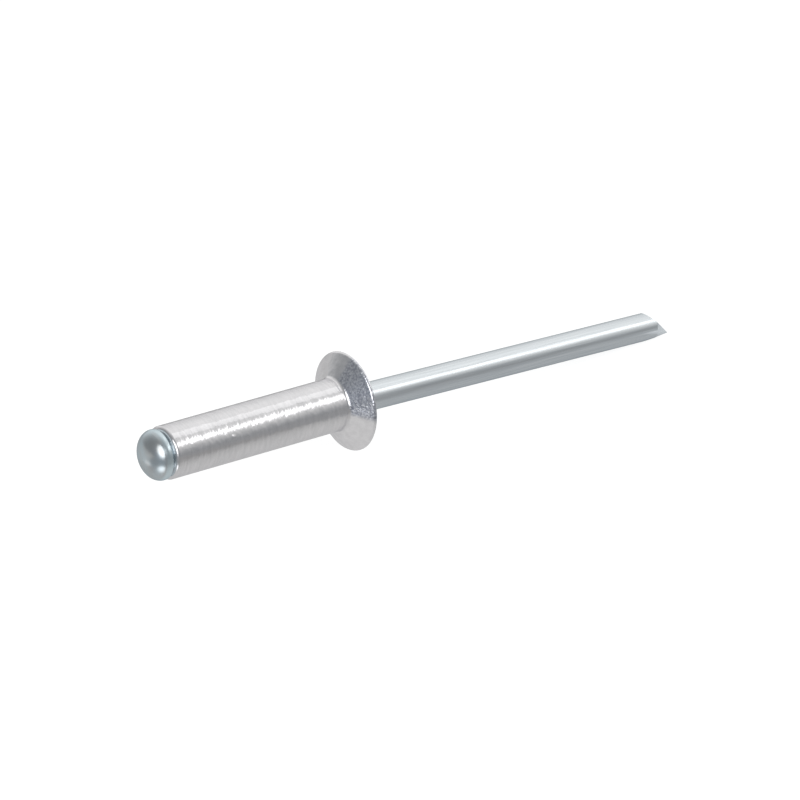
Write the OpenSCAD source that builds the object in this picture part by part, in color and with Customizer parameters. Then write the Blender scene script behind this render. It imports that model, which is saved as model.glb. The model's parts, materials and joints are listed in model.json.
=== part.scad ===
// Countersunk blind rivet, not yet set, lying on a flat surface.
// Two pieces: an aluminium body and the steel mandrel that is pulled through it.
// Each piece is drawn upright about its own axis, with z = 0 on the flat face of the countersunk head
// and the mandrel's tail pointing up, and is then laid down on the surface.
// Millimetres. The origin is on the surface, below the middle of the whole rivet. +X points along the tail.

/* [Body] */
// Length of the body, from the flat face of the head to its far end
body_len = 16.5; // [8:0.5:30]
// Diameter of the straight shank
shank_d = 4; // [3.6:0.1:5]
// Diameter of the countersunk head
head_d = 7.5; // [6.5:0.1:12]
// Included angle of the head's cone
head_angle = 120; // [90:5:130]
// Thickness of the straight edge round the head
rim_t = 0.2; // [0.1:0.05:0.6]
// Radius on the edge between the flat face and the straight edge
rim_edge_r = 0.06; // [0.02:0.01:0.1]
// Radius of the fillet between the shank and the cone
under_head_r = 0.2; // [0.1:0.05:0.5]
// Radius round the far end of the shank
end_r = 0.25; // [0.1:0.05:0.3]
// Width of the bevel at the mouth of the hole
mouth_c = 0.15; // [0.05:0.05:0.3]

/* [Mandrel] */
// Diameter of the mandrel's stem
stem_d = 2.14; // [1.6:0.02:2.3]
// Free space all round between the stem and the hole
play = 0.12; // [0.05:0.01:0.2]
// Length of the tail, from the flat face of the head to where its end cut crosses its axis
tail_len = 29.15; // [22:0.05:45]
// How far the mandrel's domed head stays inside the outline of the shank
dome_inset = 0.1; // [0.05:0.05:0.25]
// Height of the dome above its straight band
dome_h = 1.21; // [0.9:0.01:1.8]
// Height of the straight band at the foot of the dome
band_h = 0.15; // [0.05:0.05:0.5]
// Width of the bevel between the band and the flat that seats on the body
seat_bevel = 0.3; // [0.15:0.05:0.35]
// Height of that bevel
seat_h = 0.3; // [0.1:0.05:0.5]
// Depth of the round groove that makes the break neck
neck_depth = 0.22; // [0.1:0.02:0.3]
// Radius of that groove
neck_groove_r = 0.4; // [0.3:0.05:0.6]
// Distance from the seat to the middle of the break neck
neck_at = 1.2; // [0.8:0.1:2]

/* [Lean of the tail] */
// Angle by which the tail is bent down from the body's axis, half in the hole and half just outside it
lean = 1.75; // [0.5:0.05:4]
// Space left between the bent stem and the edge of the hole
lip_gap = 0.01; // [0.005:0.005:0.03]
// Distance outside the head at which the straight tail begins
bend_out = 0.3; // [0.2:0.1:1]

/* [Cut end of the tail] */
// Angle of the long top cut, from square across the stem
top_cut = 44.5; // [0:0.5:50]
// Turn of the top cut about the stem, from straight up towards +Y
top_cut_turn = 11; // [-45:1:45]
// Angle by which the shallow cut underneath rises from the surface the rivet lies on
under_rise = 6.5; // [1:0.5:10]
// Distance before the end of the tail at which the shallow cut underneath starts
under_cut_back = 2.5; // [0.6:0.05:3]
// Distance before the end of the tail at which the flat pressed into its -Y side starts
side_flat_back = 0.48; // [0.2:0.02:1]
// Depth of that flat where it starts
side_flat_depth = 0.24; // [0.1:0.02:0.4]
// Angle by which the flat runs out towards the tip, from along the stem
side_flat_lean = 7; // [2:0.5:10]

/* [Hidden] */
$fn = 96;

// Radii
shank_r = shank_d / 2;
head_r = head_d / 2;
stem_r = stem_d / 2;
bore_r = stem_r + play;
dome_r = shank_r - dome_inset;
seat_r = dome_r - seat_bevel;
neck_r = stem_r - neck_depth;

// The cone's slope is measured from the axis
cone_slope = head_angle / 2;
cone_foot = -rim_t - (head_r - shank_r) / tan(cone_slope);
fillet_reach = under_head_r * tan(cone_slope / 2);

// Where the dome begins
dome_foot = -body_len - seat_h - band_h;

// The bend's middle run slopes by half the lean. It starts as deep in the hole as the play lets it lean
// against the edge of the hole, and ends where the tail begins
bend_depth = min(mouth_c + (play - lip_gap) / tan(lean / 2), body_len / 2);
run_len = (bend_depth + bend_out) / cos(lean / 2);
run_drop = run_len * sin(lean / 2);

// Distances along the tail from its start: where its end cut crosses its axis, and where it rests
tail_end = tail_len - bend_out;
rest_at = tail_end - under_cut_back;

// The rivet rests on the edge of its head and on the underside of its tail, where the shallow cut starts.
// rest_tilt is the slope of the body's axis down to the tail that puts both points on the surface
edge_over_tail = head_r - rim_edge_r - run_drop - rest_at * sin(lean) - stem_r * cos(lean);
edge_to_tail = rim_edge_r + bend_out + rest_at * cos(lean) - stem_r * sin(lean);
rest_tilt = atan2(edge_over_tail, edge_to_tail) + asin(rim_edge_r / norm([edge_over_tail, edge_to_tail]));

// Height of the middle of the flat face above the surface
face_z = (head_r - rim_edge_r) * cos(rest_tilt) + rim_edge_r * (1 - sin(rest_tilt));

// Slope of the tail down to its end, and the shallow cut's angle from along the stem
tail_tilt = rest_tilt + lean;
under_cut = tail_tilt + under_rise;

// The tip, where the top cut, the shallow cut and the side flat meet: its distances from the tail's axis
// towards -Y and down, and along it. Along the edge between the two cuts, tip_gain is the gain in length
top_slope = tan(top_cut) * cos(top_cut_turn);
tip_gain = tan(top_cut) * sin(top_cut_turn) / (1 + top_slope * tan(under_cut));
edge_below = (stem_r - under_cut_back * tan(under_cut)) / (1 + top_slope * tan(under_cut));
edge_along = tail_end + top_slope * edge_below;
side_flat_run = edge_along - tail_end + side_flat_back;
tip_aside = (stem_r - side_flat_depth + side_flat_run * tan(side_flat_lean)) / (1 - tip_gain * tan(side_flat_lean));
tip_along = edge_along + tip_aside * tip_gain;
tip_below = edge_below - tip_aside * tip_gain * tan(under_cut);

// How far the rivet reaches each way from the middle of the flat face, along X
reach_dome = -dome_foot * cos(rest_tilt) + norm([dome_h * cos(rest_tilt), dome_r * sin(rest_tilt)]);
reach_tail = bend_out * cos(rest_tilt) - run_drop * sin(rest_tilt)
    + tip_along * cos(tail_tilt) - tip_below * sin(tail_tilt);
face_x = (reach_dome - reach_tail) / 2;

// How far plain cuts run past a surface
past = 1;

// Lays a piece down: its own axis along +X, its x axis down, its y axis along +Y
module lay_down() {
    translate([face_x, 0, face_z])
        rotate([0, 90 + rest_tilt, 0])
            children();
}

// What a rounding of radius r takes off a square corner that points down and right from the material
module corner_waste(r) {
    difference() {
        translate([-r, -past])
            square([r + past, r + past]);
        translate([-r, r])
            circle(r);
    }
}

// Half of the body's section, with the axis on the left and the flat face at the top
module body_section() {
    difference() {
        polygon([
            [bore_r, -body_len],
            [shank_r, -body_len],
            [shank_r, cone_foot - fillet_reach],
            [shank_r + fillet_reach * sin(cone_slope), cone_foot + fillet_reach * cos(cone_slope)],
            [head_r, -rim_t],
            [head_r, 0],
            [bore_r + mouth_c, 0],
            [bore_r, -mouth_c]
        ]);
        // Fillet under the head
        translate([shank_r + under_head_r, cone_foot - fillet_reach])
            circle(under_head_r);
        // Rounding of the far end
        translate([shank_r, -body_len])
            corner_waste(end_r);
        // Rounding of the edge of the flat face
        translate([head_r, 0])
            mirror([0, 1])
                corner_waste(rim_edge_r);
    }
}

module rivet_body() {
    color([0.8, 0.79, 0.8])
        lay_down()
            rotate_extrude()
                body_section();
}

// Half of the section of the mandrel's head, with the top of the dome pointing down
module dome_section() {
    // Straight band and the bevel up to the seat
    polygon([
        [0, dome_foot],
        [dome_r, dome_foot],
        [dome_r, dome_foot + band_h],
        [seat_r, -body_len],
        [0, -body_len]
    ]);
    // Dome, a quarter of an ellipse
    intersection() {
        translate([0, dome_foot])
            scale([1, dome_h / dome_r])
                circle(dome_r);
        translate([0, dome_foot - dome_h - past])
            square([dome_r + past, dome_h + past]);
    }
}

// A block whose face goes through the origin, tipped about the y axis. It fills the side towards +z
module block_from(tip) {
    rotate([0, tip, 0])
        translate([-2 * stem_d, -2 * stem_d, 0])
            cube(4 * stem_d);
}

// The same, filling the side towards -z
module block_to(tip) {
    rotate([0, tip, 0])
        translate([-2 * stem_d, -2 * stem_d, -4 * stem_d])
            cube(4 * stem_d);
}

// A stretch of stem that starts and ends past the corners of the bend, to be cut there
module round_stem(length) {
    translate([0, 0, -stem_r])
        cylinder(r = stem_r, h = length + stem_d);
}

// The mandrel's head and the stretch of stem that lies straight in the hole, with the break neck
module headed_end() {
    difference() {
        rotate_extrude() {
            dome_section();
            translate([0, -body_len])
                square([stem_r, body_len - bend_depth + stem_r]);
        }
        translate([0, 0, neck_at - body_len])
            rotate_extrude()
                translate([neck_r + neck_groove_r, 0])
                    circle(neck_groove_r);
        translate([0, 0, -bend_depth])
            block_from(lean / 4);
    }
}

// The bend's middle run, which starts at the origin
module bend_run() {
    difference() {
        round_stem(run_len);
        block_to(-lean / 4);
        translate([0, 0, run_len])
            block_from(lean / 4);
    }
}

// The straight tail, which starts at the origin, with its pinched end
module tail() {
    difference() {
        round_stem(tail_end + stem_r);
        block_to(-lean / 4);
        // Long top cut
        translate([0, 0, tail_end])
            rotate([0, 0, -top_cut_turn])
                block_from(-top_cut);
        // Shallow cut underneath
        translate([stem_r, 0, rest_at])
            block_from(90 - under_cut);
        // Flat on the side, square at its start and running out towards the tip
        translate([0, side_flat_depth - stem_r, tail_end - side_flat_back])
            rotate([side_flat_lean, 0, 0])
                translate([-2 * stem_d, -4 * stem_d, 0])
                    cube(4 * stem_d);
    }
}

module mandrel() {
    color([0.62, 0.67, 0.7])
        lay_down() {
            headed_end();
            translate([0, 0, -bend_depth])
                rotate([0, lean / 2, 0]) {
                    bend_run();
                    translate([0, 0, run_len])
                        rotate([0, lean / 2, 0])
                            tail();
                }
        }
}

rivet_body();
mandrel();
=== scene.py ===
import json
from math import acos, asin, cos, pi, radians, sin, tan

import bmesh
import bpy
from mathutils import Matrix, Vector


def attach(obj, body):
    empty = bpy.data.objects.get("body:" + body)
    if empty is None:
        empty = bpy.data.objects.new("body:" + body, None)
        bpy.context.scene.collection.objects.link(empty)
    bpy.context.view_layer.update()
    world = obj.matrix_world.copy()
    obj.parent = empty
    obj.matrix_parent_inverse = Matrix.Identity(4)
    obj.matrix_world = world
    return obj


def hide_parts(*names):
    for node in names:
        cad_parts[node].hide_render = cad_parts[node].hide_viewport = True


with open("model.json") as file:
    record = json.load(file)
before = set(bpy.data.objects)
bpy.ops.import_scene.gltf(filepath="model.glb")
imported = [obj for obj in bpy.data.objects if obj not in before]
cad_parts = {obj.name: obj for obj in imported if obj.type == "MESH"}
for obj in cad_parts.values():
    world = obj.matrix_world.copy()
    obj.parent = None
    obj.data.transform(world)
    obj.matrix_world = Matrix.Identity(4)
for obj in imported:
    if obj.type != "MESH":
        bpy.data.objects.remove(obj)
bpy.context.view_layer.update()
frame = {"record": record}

# Camera
# It looks down on the rivet from beside its domed end, from so far away that the view is nearly flat.
# The angles turn it from looking along +Y; the distances are those of a long lens.
camera_turn = radians(36.6097)
camera_drop = radians(28.9337)
camera_place = Vector((-0.229095, -0.307223, 0.213759))
camera_focus = 5907.3
camera_near = 0.05
image_width = 800
sensor_width = 36

camera = bpy.data.objects.new("camera", bpy.data.cameras.new("camera"))
bpy.context.scene.collection.objects.link(camera)
camera.location = camera_place
camera.rotation_euler = (pi / 2 - camera_drop, 0, -camera_turn)
camera.data.sensor_width = sensor_width
camera.data.lens = camera_focus * sensor_width / image_width
camera.data.clip_start = camera_near
bpy.context.scene.camera = camera

# Aluminium body
# The sleeve with the countersunk head, which stays in the joined sheets. It is cold headed from soft
# aluminium and tumbled: the shank keeps dents and fine rings, and one side of the cone is frosted. The
# frost is painted darker and bluer, partly as painted shade, and darkest on its lower end.
mm = 0.001
body_len = 16.5
shank_r = 2.0
head_r = 3.75
cone_slope = radians(60)
rim_t = 0.2
bore_r = 1.19
mouth_c = 0.15
end_r = 0.25
under_head_r = 0.3
rim_edge_r = 0.06
cone_edge_width = 0.11
round_steps = 256
sharp_corner = radians(35)
merge_reach = 1e-5
ring_reach = 1e-3

mounts = {mount["name"]: mount for mount in frame["record"]["mounts"]}
body_axis = -Vector(mounts["shank"]["axis"])
tail_axis = Vector(mounts["tail"]["axis"])
# The face's mount lies beside the stem, level with the middle of the face
face_middle = Vector(mounts["head_face"]["pos_m"])
face_middle.y = 0
cone_foot = -rim_t - (head_r - shank_r) / tan(cone_slope)


def laid_down():
    """The move from a piece drawn upright in millimetres, with its top at z = 0, to where it lies."""
    turn = Vector((0, 0, 1)).rotation_difference(body_axis).to_matrix().to_4x4()
    return Matrix.Translation(face_middle) @ turn @ Matrix.Scale(mm, 4)


def closed_outline(points):
    """A closed chain of vertices in the xz plane, from distances off the axis and along it."""
    bm = bmesh.new()
    chain = [bm.verts.new((r, 0, z)) for r, z in points]
    for a, b in zip(chain, chain[1:] + chain[:1]):
        bm.edges.new((a, b))
    return bm


def spin_round(bm):
    """Turns the outline once round the z axis, and closes its seam and its poles."""
    bmesh.ops.spin(bm, geom=bm.verts[:] + bm.edges[:], cent=(0, 0, 0), axis=(0, 0, 1), dvec=(0, 0, 0),
                   angle=2 * pi, steps=round_steps, use_merge=True, use_duplicate=False)
    bmesh.ops.remove_doubles(bm, verts=bm.verts, dist=merge_reach)


def round_rings(bm, rings):
    """Rounds rings of edges, each given by its distance off the axis, its height, a width and steps."""
    for r, z, width, steps in rings:
        near = [v for v in bm.verts
                if abs(v.co.xy.length - r) < ring_reach and abs(v.co.z - z) < ring_reach]
        ring = [e for e in bm.edges if e.verts[0] in near and e.verts[1] in near]
        bmesh.ops.bevel(bm, geom=ring, offset=width, offset_type="OFFSET", segments=steps, profile=0.5,
                        affect="EDGES", material=-1)


def finished_piece(bm, name):
    """Makes the mesh a smooth piece with its faces pointing outwards."""
    bmesh.ops.remove_doubles(bm, verts=bm.verts, dist=merge_reach * mm)
    bmesh.ops.recalc_face_normals(bm, faces=bm.faces)
    for face in bm.faces:
        face.smooth = True
    mesh = bpy.data.meshes.new(name)
    bm.to_mesh(mesh)
    bm.free()
    mesh.set_sharp_from_angle(angle=sharp_corner)
    piece = bpy.data.objects.new(name, mesh)
    bpy.context.scene.collection.objects.link(piece)
    return piece


# Points beside each rounded corner keep the straight stretches straight up to the rounding
beside_end = 0.03
beside_foot = 0.2
beside_rim = 0.08
beside_face = 0.1
cone_shares = (0.12, 0.93)
cone_point = Vector((shank_r, cone_foot))
cone_way = Vector((head_r, -rim_t)) - cone_point
foot_hold, edge_hold = [cone_point + cone_way * share for share in cone_shares]
bm = closed_outline([
    (bore_r, -body_len),
    (shank_r - end_r - beside_end, -body_len),
    (shank_r, -body_len),
    (shank_r, -body_len + end_r + beside_end),
    (shank_r, cone_foot - beside_foot),
    (shank_r, cone_foot),
    foot_hold,
    edge_hold,
    (head_r, -rim_t),
    (head_r, -beside_rim),
    (head_r, 0),
    (head_r - beside_face, 0),
    (bore_r + mouth_c, 0),
    (bore_r, -mouth_c),
])
spin_round(bm)
round_rings(bm, [
    (shank_r, -body_len, end_r, 8),
    (shank_r, cone_foot, under_head_r * tan(cone_slope / 2), 8),
    (head_r, 0, rim_edge_r, 4),
    (head_r, -rim_t, cone_edge_width, 5),
])
bmesh.ops.transform(bm, matrix=laid_down(), verts=bm.verts)
body = finished_piece(bm, "aluminium_body")

# Each kind of mark: how dense it is along the axis and the two ways across it, how strong its
# contrast is, and the depth of its bump in metres
dent_density = (2.7, 1.9, 1.9)
dent_contrast = 2
dent_depth = 11e-6
ring_density = (4.5, 0.9, 0.9)
ring_contrast = 2
ring_depth = 5e-6
grain_density = (6, 6, 6)
grain_contrast = 3
grain_depth = 8e-6
# The nick in the shank: its middle and reach in millimetres, and its depth in metres
nick_middle = (-11.5, -1.827, 0.813)
nick_reach = 0.26
nick_depth = 32e-6
# The frosted patch: the side of the cone it is on, how squarely a place faces that side where the
# patch starts and where it is full, and how near the cone's foot the one finish becomes the other
frosted_side = (0, -0.743, 0.669)
patch_edge = (0.7, 0.8)
foot_blend = 0.1
# Painted shade on the frost: it is bright above the first height over the axis, and painted darker below
# the second one. Both pairs of its colours are darker and bluer than the rest of the head, partly as painted
# shade over the metal's own grain.
frost_heights = (1.3, 0.3)
bright_frost_colours = (0.58, 0.59, 0.65), (0.94, 0.95, 0.98)
shaded_frost_colours = (0.38, 0.4, 0.46), (0.78, 0.8, 0.86)
shank_colours = (0.77, 0.765, 0.775), (0.84, 0.83, 0.84)
head_colours = (0.85, 0.84, 0.85), (0.95, 0.94, 0.95)
aluminium_edge_on = (0.87, 0.87, 0.88, 1)
aluminium_roughness = (0.12, 0.2)


def marks_group():
    """Marks of a worked metal surface, from 0 to 1, drawn out along the way in which they are less dense."""
    middle = 0.5
    group = bpy.data.node_groups.new("worked_metal_marks", "ShaderNodeTree")
    group.interface.new_socket("Place", in_out="INPUT", socket_type="NodeSocketVector")
    group.interface.new_socket("Density", in_out="INPUT", socket_type="NodeSocketVector")
    group.interface.new_socket("Contrast", in_out="INPUT", socket_type="NodeSocketFloat")
    group.interface.new_socket("Marks", in_out="OUTPUT", socket_type="NodeSocketFloat")
    nodes, links = group.nodes, group.links
    start = nodes.new("NodeGroupInput")
    end = nodes.new("NodeGroupOutput")
    dense = nodes.new("ShaderNodeVectorMath")
    dense.operation = "MULTIPLY"
    noise = nodes.new("ShaderNodeTexNoise")
    noise.inputs["Scale"].default_value = 1
    noise.inputs["Detail"].default_value = 1
    centre = nodes.new("ShaderNodeMath")
    centre.operation = "SUBTRACT"
    centre.inputs[1].default_value = middle
    spread = nodes.new("ShaderNodeMath")
    spread.operation = "MULTIPLY_ADD"
    spread.use_clamp = True
    spread.inputs[2].default_value = middle
    links.new(start.outputs["Place"], dense.inputs[0])
    links.new(start.outputs["Density"], dense.inputs[1])
    links.new(dense.outputs[0], noise.inputs["Vector"])
    links.new(noise.outputs["Fac"], centre.inputs[0])
    links.new(centre.outputs[0], spread.inputs[0])
    links.new(start.outputs["Contrast"], spread.inputs[1])
    links.new(spread.outputs[0], end.inputs["Marks"])
    return group


marks = marks_group()


def add_marks(nodes, links, place, density, contrast):
    """Marks at a place in millimetres, as dense as density says along each of its three ways."""
    made = nodes.new("ShaderNodeGroup")
    made.node_tree = marks
    links.new(place, made.inputs["Place"])
    made.inputs["Density"].default_value = density
    made.inputs["Contrast"].default_value = contrast
    return made.outputs["Marks"]


def along_piece(nodes, links, axis, origin):
    """Object coordinates in millimetres, turned so that x runs along the piece's axis from its origin."""
    place = nodes.new("ShaderNodeTexCoord")
    turned = nodes.new("ShaderNodeMapping")
    turned.inputs["Scale"].default_value = (1 / mm, 1 / mm, 1 / mm)
    slope = axis.rotation_difference(Vector((1, 0, 0)))
    turned.inputs["Rotation"].default_value = slope.to_euler()
    turned.inputs["Location"].default_value = -(slope @ origin) / mm
    links.new(place.outputs["Object"], turned.inputs["Vector"])
    return turned.outputs["Vector"]


def split_up(nodes, links, place):
    """The x, y and z of a place."""
    split = nodes.new("ShaderNodeSeparateXYZ")
    links.new(place, split.inputs[0])
    return split.outputs["X"], split.outputs["Y"], split.outputs["Z"]


def measured(nodes, links, how, place, other):
    """One number from a place: its distance from another one, or how far it lies along a way."""
    measure = nodes.new("ShaderNodeVectorMath")
    measure.operation = how
    measure.inputs[1].default_value = other
    links.new(place, measure.inputs[0])
    return measure.outputs["Value"]


def spread_over(nodes, links, value, low, high):
    """Spreads a value from 0 to 1 over a range."""
    ranged = nodes.new("ShaderNodeMapRange")
    ranged.inputs["To Min"].default_value = low
    ranged.inputs["To Max"].default_value = high
    links.new(value, ranged.inputs["Value"])
    return ranged.outputs["Result"]


def toward(nodes, links, value, start, stop):
    """Goes from 0 at the start to 1 at the stop, smoothly."""
    step = nodes.new("ShaderNodeMapRange")
    step.interpolation_type = "SMOOTHSTEP"
    step.inputs["From Min"].default_value = start
    step.inputs["From Max"].default_value = stop
    links.new(value, step.inputs["Value"])
    return step.outputs["Result"]


def combine(nodes, links, how, a, b):
    """One Math node on two values, either of which may be a plain number."""
    worked = nodes.new("ShaderNodeMath")
    worked.operation = how
    for socket, value in zip(worked.inputs, (a, b)):
        if isinstance(value, bpy.types.NodeSocket):
            links.new(value, socket)
        else:
            socket.default_value = value
    return worked.outputs["Value"]


def both_ways(nodes, links, a, b):
    """How far off a place is that lies a one way and b across it."""
    square_a = combine(nodes, links, "MULTIPLY", a, a)
    square_b = combine(nodes, links, "MULTIPLY", b, b)
    return combine(nodes, links, "SQRT", combine(nodes, links, "ADD", square_a, square_b), 0)


def blend_colours(nodes, links, factor, low, high):
    """Goes from the low colour to the high one, either of which may come from a node."""
    tint = nodes.new("ShaderNodeMix")
    tint.data_type = "RGBA"
    links.new(factor, tint.inputs["Factor"])
    for socket, colour in ((tint.inputs[6], low), (tint.inputs[7], high)):
        if isinstance(colour, bpy.types.NodeSocket):
            links.new(colour, socket)
        else:
            socket.default_value = (*colour, 1)
    return tint.outputs[2]


def bumped(nodes, links, height, depth, before=None):
    """A bump as deep as depth, in metres, on top of the one before it."""
    bump = nodes.new("ShaderNodeBump")
    bump.inputs["Distance"].default_value = depth
    links.new(height, bump.inputs["Height"])
    if before:
        links.new(before, bump.inputs["Normal"])
    return bump.outputs["Normal"]


def bare_metal(name, edge_on):
    """A metal that waits for its finish, with the tint that it takes on where it is seen edge on."""
    material = bpy.data.materials.new(name)
    material.use_nodes = True
    surface = material.node_tree.nodes["Principled BSDF"]
    surface.inputs["Metallic"].default_value = 1
    surface.inputs["Specular Tint"].default_value = edge_on
    return material, surface


def aluminium_material():
    """Dents and rings all over, frost with painted shade on one side of the cone, and a nick in the shank.
    """
    material, surface = bare_metal("tumbled_aluminium", aluminium_edge_on)
    nodes, links = material.node_tree.nodes, material.node_tree.links
    place = along_piece(nodes, links, body_axis, face_middle)
    along, across, up = split_up(nodes, links, place)
    on_cone = toward(nodes, links, along, cone_foot - foot_blend, cone_foot + foot_blend)
    dents = add_marks(nodes, links, place, dent_density, dent_contrast)
    rings = add_marks(nodes, links, place, ring_density, ring_contrast)
    grain = add_marks(nodes, links, place, grain_density, grain_contrast)
    aside = measured(nodes, links, "DOT_PRODUCT", place, frosted_side)
    facing = combine(nodes, links, "DIVIDE", aside, both_ways(nodes, links, across, up))
    patch = combine(nodes, links, "MULTIPLY", on_cone, toward(nodes, links, facing, *patch_edge))
    patch = combine(nodes, links, "MULTIPLY", patch, toward(nodes, links, along, 0, -rim_t / 2))
    frost = combine(nodes, links, "MULTIPLY", grain, patch)
    turned = blend_colours(nodes, links, rings, *shank_colours)
    # Painted shade: a bright and a shaded copy of the frost's grain, with the shaded one on its lower end
    bright_frost = blend_colours(nodes, links, grain, *bright_frost_colours)
    shaded_frost = blend_colours(nodes, links, grain, *shaded_frost_colours)
    low_end = toward(nodes, links, up, *frost_heights)
    frost_and_painted_shade = blend_colours(nodes, links, low_end, bright_frost, shaded_frost)
    smooth = blend_colours(nodes, links, dents, *head_colours)
    head_tint_with_shade = blend_colours(nodes, links, patch, smooth, frost_and_painted_shade)
    links.new(blend_colours(nodes, links, on_cone, turned, head_tint_with_shade), surface.inputs["Base Color"])
    links.new(spread_over(nodes, links, dents, *aluminium_roughness), surface.inputs["Roughness"])
    off_nick = measured(nodes, links, "DISTANCE", place, nick_middle)
    nicked = toward(nodes, links, off_nick, nick_reach, 0)
    dented = bumped(nodes, links, dents, dent_depth)
    ringed = bumped(nodes, links, rings, ring_depth, dented)
    grained = bumped(nodes, links, frost, grain_depth, ringed)
    links.new(bumped(nodes, links, nicked, nick_depth, grained), surface.inputs["Normal"])
    return material


body.data.materials.append(aluminium_material())
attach(body, "root")
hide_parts("rivet_body")

# Steel mandrel
# The zinc plated nail that is pulled through the sleeve. Its round head is cold formed from the drawn wire,
# its neck is pinched to break inside the sleeve, and its tail was nipped off, which left an uneven wedge.
stem_r = 1.07
dome_r = 1.9
dome_h = 1.21
cap_foot = 0.43
crease_h = cap_foot / 3
band_h = 0.15
band_share = 0.8
seat_bevel = 0.3
seat_h = 0.3
neck_depth = 0.22
neck_groove_r = 0.4
neck_at = 1.2
bend_out = 0.3
play = 0.12
lip_gap = 0.01
lean = body_axis.angle(tail_axis)
bend_depth = mouth_c + (play - lip_gap) / tan(lean / 2)
run_len = (bend_depth + bend_out) / cos(lean / 2)
tail_len = 29.15
tail_end = tail_len - bend_out
past_end = 2 * stem_r
top_cut = radians(44.5)
top_cut_turn = radians(11)
under_rise = radians(6.5)
under_cut_back = 2.5
side_flat_back = 0.48
side_flat_depth = 0.24
side_flat_lean = radians(7)
dome_foot = -body_len - seat_h - band_h
dome_steps = 40
groove_steps = 12
cut_reach = 1e-6
plane_reach = 1e-4


def last_vertex(made):
    """The vertex at which a spin ends."""
    return [g for g in made["geom_last"] if isinstance(g, bmesh.types.BMVert)][0]


def dome_and_stem():
    """The mandrel from the top of its dome to where its bend starts, upright."""
    bm = bmesh.new()
    top = bm.verts.new((0, 0, dome_foot - dome_r))
    made = bmesh.ops.spin(bm, geom=[top], cent=(0, 0, dome_foot), axis=(0, -1, 0), dvec=(0, 0, 0),
                          angle=pi / 2 - asin(cap_foot / dome_h), steps=dome_steps, use_duplicate=False)
    last = last_vertex(made)
    squeeze = Matrix.Translation((0, 0, dome_foot)) @ Matrix.Scale(dome_h / dome_r, 4, (0, 0, 1))
    bmesh.ops.transform(bm, matrix=squeeze @ Matrix.Translation((0, 0, -dome_foot)), verts=bm.verts)
    groove_angle = acos(1 - neck_depth / neck_groove_r)
    groove_half = neck_groove_r * sin(groove_angle)
    neck_z = neck_at - body_len
    cap_edge = Vector((last.co.x, last.co.z))
    band_edge = Vector((dome_r, dome_foot + band_h))
    band_top = Vector((dome_r, dome_foot - crease_h))
    corners = [
        band_top,
        band_top.lerp(band_edge, band_share),
        band_edge,
        (dome_r - seat_bevel, -body_len),
        (stem_r, -body_len),
        (stem_r, neck_z - groove_half),
    ]
    for r, z in corners:
        step = bm.verts.new((r, 0, z))
        bm.edges.new((last, step))
        last = step
    groove_middle = (stem_r - neck_depth + neck_groove_r, 0, neck_z)
    made = bmesh.ops.spin(bm, geom=[last], cent=groove_middle, axis=(0, 1, 0), dvec=(0, 0, 0),
                          angle=2 * groove_angle, steps=groove_steps, use_duplicate=False)
    step = bm.verts.new((stem_r, 0, -bend_depth))
    bm.edges.new((last_vertex(made), step))
    spin_round(bm)
    round_rings(bm, [
        (*band_edge, 0.05, 3),
        (*band_top, 0.1, 4),
        (*cap_edge, 0.03, 3),
    ])
    return bm


def draw_out(bm, move, turn_at=None):
    """Draws the open end of the stem out, and tips its new ring about the y axis through a point."""
    open_end = [e for e in bm.edges if e.is_boundary]
    made = bmesh.ops.extrude_edge_only(bm, edges=open_end)["geom"]
    ring = [g for g in made if isinstance(g, bmesh.types.BMVert)]
    bmesh.ops.translate(bm, verts=ring, vec=move)
    if turn_at:
        bmesh.ops.rotate(bm, verts=ring, cent=turn_at, matrix=tail_turn)


def tail_plane(point, facing):
    """A plane from the tail's own upright frame, as a point and the way it faces."""
    return tail_start + tail_turn @ Vector(point), (tail_turn @ Vector(facing)).normalized()


def close_flat(bm, rim):
    """Closes a loop of edges with one flat face, whose own edges stay sharp."""
    bmesh.ops.contextual_create(bm, geom=rim)
    for edge in rim:
        edge.smooth = False


def cut_off(bm, point, facing):
    """Cuts off what lies beyond a plane, and closes the cut with a flat face."""
    made = bmesh.ops.bisect_plane(bm, geom=bm.verts[:] + bm.edges[:] + bm.faces[:], dist=cut_reach,
                                  plane_co=point, plane_no=facing, clear_outer=True)
    close_flat(bm, [g for g in made["geom_cut"] if isinstance(g, bmesh.types.BMEdge)])


def press_notch(bm, point, floor_facing, wall_facing):
    """Takes away what lies beyond both of two planes, and closes the notch with two flat faces."""
    both = (floor_facing, wall_facing)
    for facing in both:
        bmesh.ops.bisect_plane(bm, geom=bm.verts[:] + bm.edges[:] + bm.faces[:], dist=cut_reach,
                               plane_co=point, plane_no=facing)

    def beyond(place, facing):
        return (place - point).dot(facing)

    gone = [f for f in bm.faces if min(beyond(f.calc_center_median(), facing) for facing in both) > 0]
    bmesh.ops.delete(bm, geom=gone, context="FACES")
    rim = [e for e in bm.edges if e.is_boundary]
    ends = [v for v in bm.verts
            if v.is_boundary and max(abs(beyond(v.co, facing)) for facing in both) < plane_reach]
    corner = bm.edges.new(ends)
    corner.smooth = False
    for facing in both:
        side = [e for e in rim if max(abs(beyond(v.co, facing)) for v in e.verts) < plane_reach]
        close_flat(bm, side + [corner])


bm = dome_and_stem()
tail_turn = Matrix.Rotation(lean, 3, "Y")
tail_start = Vector((run_len * sin(lean / 2), 0, bend_out))
draw_out(bm, tail_start + Vector((0, 0, bend_depth)), tail_start)
draw_out(bm, tail_turn @ Vector((0, 0, tail_end + past_end)))
bmesh.ops.contextual_create(bm, geom=[e for e in bm.edges if e.is_boundary])

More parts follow.
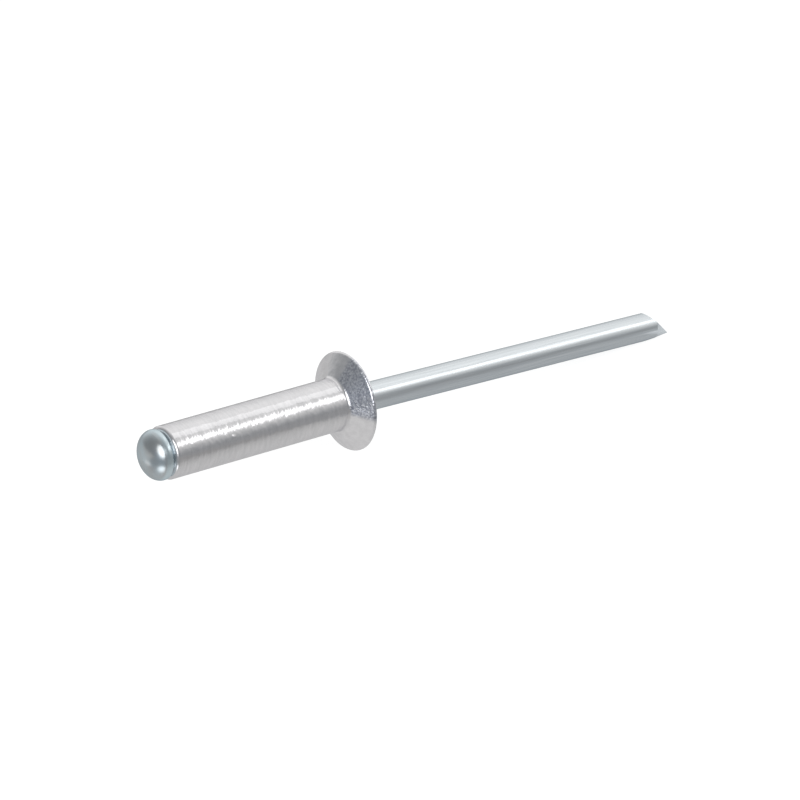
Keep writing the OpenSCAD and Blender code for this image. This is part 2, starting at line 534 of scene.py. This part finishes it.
# The pinched end: the long cut on top, the shallow cut underneath, and the flat pressed into one side
rest_tilt = body_axis.angle(Vector((1, 0, 0)))
under_cut = rest_tilt + lean + under_rise
top_facing = Matrix.Rotation(-top_cut_turn, 3, "Z") @ Vector((-sin(top_cut), 0, cos(top_cut)))
cut_off(bm, *tail_plane((0, 0, tail_end), top_facing))
cut_off(bm, *tail_plane((stem_r, 0, tail_end - under_cut_back), (cos(under_cut), 0, sin(under_cut))))
flat_point, flat_facing = tail_plane((0, side_flat_depth - stem_r, tail_end - side_flat_back),
                                     (0, -cos(side_flat_lean), -sin(side_flat_lean)))
wall_facing = tail_plane((0, 0, 0), (0, -sin(side_flat_lean), cos(side_flat_lean)))[1]
press_notch(bm, flat_point, flat_facing, wall_facing)
bmesh.ops.transform(bm, matrix=laid_down(), verts=bm.verts)
mandrel = finished_piece(bm, "steel_mandrel")

# Drawn lines run along the stem, faint clouds lie on the dome, and a painted highlight makes the dome's foot
# lighter and bluer
line_density = (0.25, 9, 9)
line_contrast = 2.2
line_depth = 1.2e-6
line_roughness = 0.06
cloud_density = (0.9, 0.9, 0.9)
cloud_contrast = 3
seat_blend = 0.1
# Where the painted highlight on the dome's foot starts and where it is full, in millimetres short of the
# foot
highlight_from = 0.45
highlight_full = 0.2
stem_colours = (0.72, 0.76, 0.785), (0.825, 0.86, 0.88)
dome_colours = (0.6, 0.625, 0.63), (0.61, 0.69, 0.73)
foot_highlight_colour = (0.7, 0.8, 0.84)
steel_edge_on = (0.71, 0.75, 0.77, 1)
dome_roughness = 0.24
stem_roughness = 0.2


def steel_material():
    """Drawn lines on the stem, faint clouds on the dome, and a painted highlight on the dome's foot."""
    material, surface = bare_metal("zinc_plated_steel", steel_edge_on)
    nodes, links = material.node_tree.nodes, material.node_tree.links
    place = along_piece(nodes, links, tail_axis, face_middle)
    along = split_up(nodes, links, place)[0]
    on_stem = toward(nodes, links, along, -body_len - seat_blend, -body_len + seat_blend)
    lines = add_marks(nodes, links, place, line_density, line_contrast)
    drawn = combine(nodes, links, "MULTIPLY", lines, on_stem)
    clouds = add_marks(nodes, links, place, cloud_density, cloud_contrast)
    # Painted highlight: the dome's foot is painted lighter and bluer, standing in for the bright reflection
    # along it
    painted_foot_highlight = toward(nodes, links, along, dome_foot - highlight_from, dome_foot - highlight_full)
    stem_tint = blend_colours(nodes, links, lines, *stem_colours)
    dome_tint = blend_colours(nodes, links, clouds, *dome_colours)
    head_tint_and_highlight = blend_colours(nodes, links, painted_foot_highlight, dome_tint, foot_highlight_colour)
    links.new(blend_colours(nodes, links, on_stem, head_tint_and_highlight, stem_tint), surface.inputs["Base Color"])
    lined = spread_over(nodes, links, drawn, 0, line_roughness)
    plain = spread_over(nodes, links, on_stem, dome_roughness, stem_roughness)
    links.new(combine(nodes, links, "ADD", lined, plain), surface.inputs["Roughness"])
    links.new(bumped(nodes, links, drawn, line_depth), surface.inputs["Normal"])
    return material


mandrel.data.materials.append(steel_material())
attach(mandrel, "root")
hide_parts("mandrel")

# Table and light
# A white sheet on a table in a dim room, with a round soft box on the left, a narrow one and a small one on
# the right, and a broad soft light high on the right and behind. The metal mirrors all of it; the sheet it
# mirrors is painted light, which glows with no lamp.
floor_size = 2.0
white = (1, 1, 1)
# How the camera sees the sheet
seen_shade = 0.35
seen_glow = 0.84
# How the metal sees it, as painted light with painted shade: where its glow starts to fade and where that
# ends, in metres off its edges, then where those edges are, and how bright it is
fade_near = 0.001
fade_far = 0.018
sheet_back = 0.012
sheet_left = -0.0195
sheet_right = -0.0055
right_end = -0.0015
right_fall = 0.009
sheet_glow = 0.6
painted_shade_glow = 0.33
behind_fall = 0.07
painted_shade_colour = (0.95, 0.985, 1.03)
# Painted pools of light on it: their middle, how far they reach, and what they add
pools = [
    ((-0.0289, -0.0052, 0), 0.0046, 1.2),
    ((-0.0318, 0.0048, 0), 0.0035, 0.5),
    ((0.0238, -0.0023, 0), 0.0014, 0.25),
]

bm = bmesh.new()
bmesh.ops.create_grid(bm, x_segments=1, y_segments=1, size=floor_size)
floor_mesh = bpy.data.meshes.new("table")
bm.to_mesh(floor_mesh)
bm.free()
floor = bpy.data.objects.new("table", floor_mesh)
bpy.context.scene.collection.objects.link(floor)


def table_material():
    """White where it is seen. In the metal it is painted light: a glowing sheet with painted shade in front
    and past its left end.
    """
    material = bpy.data.materials.new("white_table")
    material.use_nodes = True
    nodes, links = material.node_tree.nodes, material.node_tree.links
    seen = nodes["Principled BSDF"]
    seen.inputs["Base Color"].default_value = (seen_shade, seen_shade, seen_shade, 1)
    seen.inputs["Roughness"].default_value = 1
    seen.inputs["Specular IOR Level"].default_value = 0
    seen.inputs["Emission Color"].default_value = (*white, 1)
    seen.inputs["Emission Strength"].default_value = seen_glow
    place = nodes.new("ShaderNodeTexCoord").outputs["Object"]
    x, y, _ = split_up(nodes, links, place)
    # Painted shade: the glow falls off past the sheet's left end and in front, where a shadow of the shank
    # would lie, and turns bluer there
    past_left = combine(nodes, links, "SUBTRACT", sheet_left, x)
    right_share = toward(nodes, links, x, sheet_right, right_end)
    past_right = combine(nodes, links, "MULTIPLY", right_share, right_fall)
    past_edge = combine(nodes, links, "MAXIMUM", past_left, past_right)
    past_sheet = combine(nodes, links, "MULTIPLY", past_edge, toward(nodes, links, y, sheet_back, 0))
    ahead = combine(nodes, links, "MINIMUM", y, 0)
    fade = toward(nodes, links, both_ways(nodes, links, past_sheet, ahead), fade_near, fade_far)
    painted_shade_tint = toward(nodes, links, past_sheet, fade_near, fade_far)
    behind = toward(nodes, links, y, sheet_back, 3 * sheet_back)
    lit = combine(nodes, links, "ADD", spread_over(nodes, links, fade, sheet_glow, painted_shade_glow),
                  spread_over(nodes, links, behind, 0, -behind_fall))
    # Painted pools of light, added to the sheet's glow
    for middle, reach, gain in pools:
        off_middle = measured(nodes, links, "DISTANCE", place, middle)
        pooled = toward(nodes, links, off_middle, reach, reach / 4)
        lit = combine(nodes, links, "ADD", lit, spread_over(nodes, links, pooled, 0, gain))
    # The sheet as the metal mirrors it: a painted glow that no lamp makes
    mirrored = nodes.new("ShaderNodeEmission")
    links.new(blend_colours(nodes, links, painted_shade_tint, white, painted_shade_colour), mirrored.inputs["Color"])
    links.new(lit, mirrored.inputs["Strength"])
    rays = nodes.new("ShaderNodeLightPath")
    shown = nodes.new("ShaderNodeMixShader")
    links.new(rays.outputs["Is Camera Ray"], shown.inputs["Fac"])
    links.new(mirrored.outputs["Emission"], shown.inputs[1])
    links.new(seen.outputs["BSDF"], shown.inputs[2])
    links.new(shown.outputs["Shader"], nodes["Material Output"].inputs["Surface"])
    return material


floor_mesh.materials.append(table_material())

# How far off the rivet each soft box stands, in metres
box_distance = 0.6


def way_to(turn, lift):
    """The way to a light: its turn from -Y towards +X and its lift over the table, in degrees."""
    turn, lift = radians(turn), radians(lift)
    return Vector((sin(turn) * cos(lift), -cos(turn) * cos(lift), sin(lift)))


def soft_box(name, turn, lift, wide, tall, radiance, shape="RECTANGLE"):
    """A soft box that shines at the rivet, as wide and tall as it looks from there, in degrees."""
    light = bpy.data.lights.new(name, "AREA")
    light.shape = shape
    light.size = 2 * box_distance * tan(radians(wide / 2))
    light.size_y = 2 * box_distance * tan(radians(tall / 2))
    area = light.size * light.size_y * (pi / 4 if shape == "ELLIPSE" else 1)
    light.energy = radiance * pi * area
    lamp = bpy.data.objects.new(name, light)
    bpy.context.scene.collection.objects.link(lamp)
    lamp.location = way_to(turn, lift) * box_distance
    lamp.rotation_euler = (radians(90 - lift), 0, radians(turn))


soft_box("left_box", turn=-52, lift=32, wide=54, tall=46, radiance=1.3, shape="ELLIPSE")
soft_box("right_strip", turn=55, lift=40, wide=44, tall=12.5, radiance=0.8)
soft_box("high_strip", turn=92, lift=56, wide=22, tall=19, radiance=0.27)

# The room's own soft glows: their turn, their lift, how narrow they are, and their colour
room_colour = (0.27, 0.28, 0.29)
glows = [
    (-68, -4, 5, (0.25, 0.28, 0.325)),
    (125, 42, 2.4, (0.92, 0.92, 0.92)),
    (168, 10, 7, (0.86, 0.86, 0.86)),
    (51, 37, 10.5, (0.8, 0.8, 0.8)),
    (-54, 22, 12, (0.85, 0.85, 0.88)),
]


def glow_toward(nodes, links, way, turn, lift, narrowness):
    """A soft round brightness of the room, 1 in its middle."""
    facing = measured(nodes, links, "DOT_PRODUCT", way, way_to(turn, lift))
    return combine(nodes, links, "POWER", combine(nodes, links, "MAXIMUM", facing, 0), narrowness)


def studio_world():
    """A dim, slightly blue room, brighter high on the right and behind, and round the left box."""
    world = bpy.data.worlds.new("studio")
    world.use_nodes = True
    nodes, links = world.node_tree.nodes, world.node_tree.links
    way = nodes.new("ShaderNodeTexCoord").outputs["Generated"]
    room = room_colour
    for turn, lift, narrowness, colour in glows:
        glow = glow_toward(nodes, links, way, turn, lift, narrowness)
        room = blend_colours(nodes, links, glow, room, colour)
    rays = nodes.new("ShaderNodeLightPath")
    shown = blend_colours(nodes, links, rays.outputs["Is Camera Ray"], room, white)
    links.new(shown, nodes["Background"].inputs["Color"])
    return world


bpy.context.scene.world = studio_world()
bpy.context.scene.view_settings.view_transform = "Standard"
